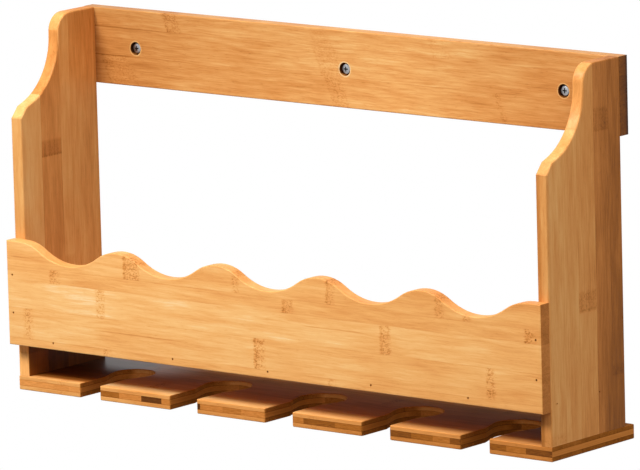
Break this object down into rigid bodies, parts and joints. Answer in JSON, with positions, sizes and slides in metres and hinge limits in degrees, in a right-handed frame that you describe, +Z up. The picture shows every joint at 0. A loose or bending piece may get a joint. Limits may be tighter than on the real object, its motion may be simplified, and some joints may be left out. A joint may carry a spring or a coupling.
{
  "type": "wall rack for wine bottles and stemmed glasses",
  "caption": "Wall-hung bamboo rack: bottles stand behind a low front panel with a wavy top, and glasses hang upside down by their feet in the slots of the board below.",
  "frame": {"origin": "on the axis of the middle wall screw, where it meets the wall, level with the rack's back faces", "axes": "+X to the right as seen from the front, along the rack's width; +Y along the wall screws into the wall; +Z up"},
  "size_m": [0.6, 0.157, 0.335],
  "materials": {
    "bamboo_side": "satin lacquered bamboo, strips upright",
    "bamboo_rail": "satin lacquered bamboo, strips lengthwise",
    "bamboo_front": "satin lacquered bamboo, strips lengthwise",
    "bamboo_ply": "satin lacquered three-layer bamboo board",
    "screw_steel": "zinc-plated",
    "brad_steel": "dull"
  },
  "bodies": {
    "root": {"side_panel_left": "bamboo_side", "side_panel_right": "bamboo_side", "back_rail": "bamboo_rail", "front_panel": "bamboo_front", "bottle_shelf": "bamboo_side", "glass_board": "bamboo_ply", "wall_screw_left": "screw_steel", "wall_screw_middle": "screw_steel", "wall_screw_right": "screw_steel", "front_shelf_brads": "brad_steel", "front_side_brads_left": "brad_steel", "front_side_brads_right": "brad_steel", "shelf_brads_left": "brad_steel", "shelf_brads_right": "brad_steel", "rail_screws_left": "screw_steel", "rail_screws_right": "screw_steel", "base_screws_left": "screw_steel", "base_screws_right": "screw_steel"}
  },
  "joints": []
}
